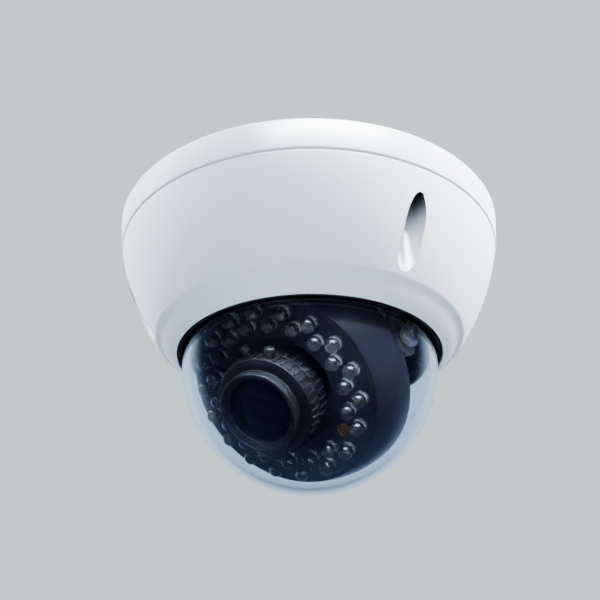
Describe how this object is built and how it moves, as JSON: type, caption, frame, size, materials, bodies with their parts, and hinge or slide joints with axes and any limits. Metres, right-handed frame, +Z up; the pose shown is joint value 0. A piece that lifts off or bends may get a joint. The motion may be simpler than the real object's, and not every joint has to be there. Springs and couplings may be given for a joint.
{
  "type": "dome camera",
  "caption": "Ceiling dome camera: white cast base and cover, clear bubble, black lens head with infra-red lamps that pans, tilts and rotates.",
  "frame": {"origin": "centre of the base's ceiling face", "axes": "+Z up into the ceiling; the lens looks along -Y, tilted 44 degrees down; +X to the right of the lens seen from behind it"},
  "size_m": [0.145, 0.145, 0.1025],
  "materials": {
    "housing_paint": "satin white paint",
    "seal_grey": "matte grey silicone",
    "seal_black": "matte black rubber",
    "clear_dome": "polished clear dome",
    "liner_black": "matte black moulding",
    "gloss_black": "glossy black moulding",
    "bracket_black": "black coated sheet steel",
    "screw_black": "black oxide screws",
    "screw_steel": "plated screws",
    "carrier_black": "fine textured black moulding",
    "lens_black": "black anodised",
    "lens_glass": "coated lens glass",
    "filter_tint": "tinted filter glass",
    "lamp_clear": "clear lamp resin",
    "photocell_face": "dark sealed resin face",
    "board_green": "green solder mask",
    "board_black": "black solder mask",
    "chip_black": "moulded chip packages",
    "brass_post": "turned brass",
    "copper_coil": "lacquered copper winding",
    "plug_ivory": "ivory nylon",
    "pouch_paper": "white fibre paper"
  },
  "bodies": {
    "base": {"base_casting": "housing_paint", "base_seal": "seal_grey", "cable_grommet": "seal_black", "interface_board": "board_green", "board_standoffs": "brass_post", "board_screws": "screw_steel", "terminal_block": "plug_ivory", "desiccant_pack": "pouch_paper", "pan_ring": "liner_black", "pan_ring_screws": "screw_steel"},
    "cover": {"cover_shell": "housing_paint", "cover_screws": "screw_black", "screw_seals": "seal_black", "dome_gasket": "seal_black", "dome_bubble": "clear_dome", "dome_clamp_ring": "liner_black", "clamp_screws": "screw_steel", "inner_liner": "liner_black"},
    "pan_stage": {"pan_turntable": "liner_black", "pan_retainer": "screw_steel", "yoke_left": "bracket_black", "yoke_right": "bracket_black", "yoke_screws": "screw_steel", "pan_lock_screw": "screw_steel"},
    "tilt_stage": {"tilt_cradle": "bracket_black", "tilt_screws": "screw_steel"},
    "lens_head": {"lens_carrier": "carrier_black", "rotation_clip": "liner_black", "eyeball_cap": "gloss_black", "face_plate": "gloss_black", "lamp_board": "board_black", "outer_lamps": "lamp_clear", "inner_lamps": "lamp_clear", "photocell": "photocell_face", "lamp_socket": "plug_ivory", "lens_barrel": "lens_black", "front_element": "lens_glass", "inner_elements": "lens_glass", "iris_plate": "lens_black", "lens_front_ring": "lens_black", "lens_mount": "liner_black", "sensor_board": "board_green", "image_sensor": "chip_black", "board_pillars": "brass_post", "main_board": "board_green", "processor_chips": "chip_black", "filter_coil": "copper_coil", "menu_switch": "screw_steel"},
    "zoom": {"zoom_ring": "lens_black", "zoom_lever": "screw_black"},
    "focus": {"focus_ring": "lens_black", "focus_lever": "screw_black"},
    "ir_filter": {"filter_carrier": "liner_black", "filter_glass": "filter_tint"},
    "menu": {"menu_button": "liner_black"}
  },
  "joints": [
    {"name": "cover_off", "type": "slide", "parent": "base", "child": "cover", "axis": [0, 0, -1], "range_m": [0, 0.1]},
    {"name": "pan", "type": "hinge", "parent": "base", "child": "pan_stage", "pos_m": [0, 0, -0.009], "axis": [0, 0, 1], "range_deg": [-177, 177]},
    {"name": "tilt", "type": "hinge", "parent": "pan_stage", "child": "tilt_stage", "pos_m": [0, 0, -0.0561], "axis": [1, 0, 0], "range_deg": [-44, 46]},
    {"name": "lens_rotation", "type": "hinge", "parent": "tilt_stage", "child": "lens_head", "pos_m": [0, 0, -0.0561], "axis": [0, -0.7193, -0.6947], "range_deg": [-175, 175]},
    {"name": "zoom_turn", "type": "hinge", "parent": "lens_head", "child": "zoom", "pos_m": [0, 0, -0.0561], "axis": [0, -0.7193, -0.6947], "range_deg": [-35, 35]},
    {"name": "focus_turn", "type": "hinge", "parent": "lens_head", "child": "focus", "pos_m": [0, 0, -0.0561], "axis": [0, -0.7193, -0.6947], "range_deg": [-35, 35]},
    {"name": "filter_shift", "type": "slide", "parent": "lens_head", "child": "ir_filter", "axis": [-1, 0, 0], "range_m": [0, 0.009]},
    {"name": "menu_press", "type": "slide", "parent": "lens_head", "child": "menu", "axis": [0, -0.7193, -0.6947], "range_m": [0, 0.0004], "stiffness_N_per_m": 600, "springref_m": -0.0005}
  ]
}
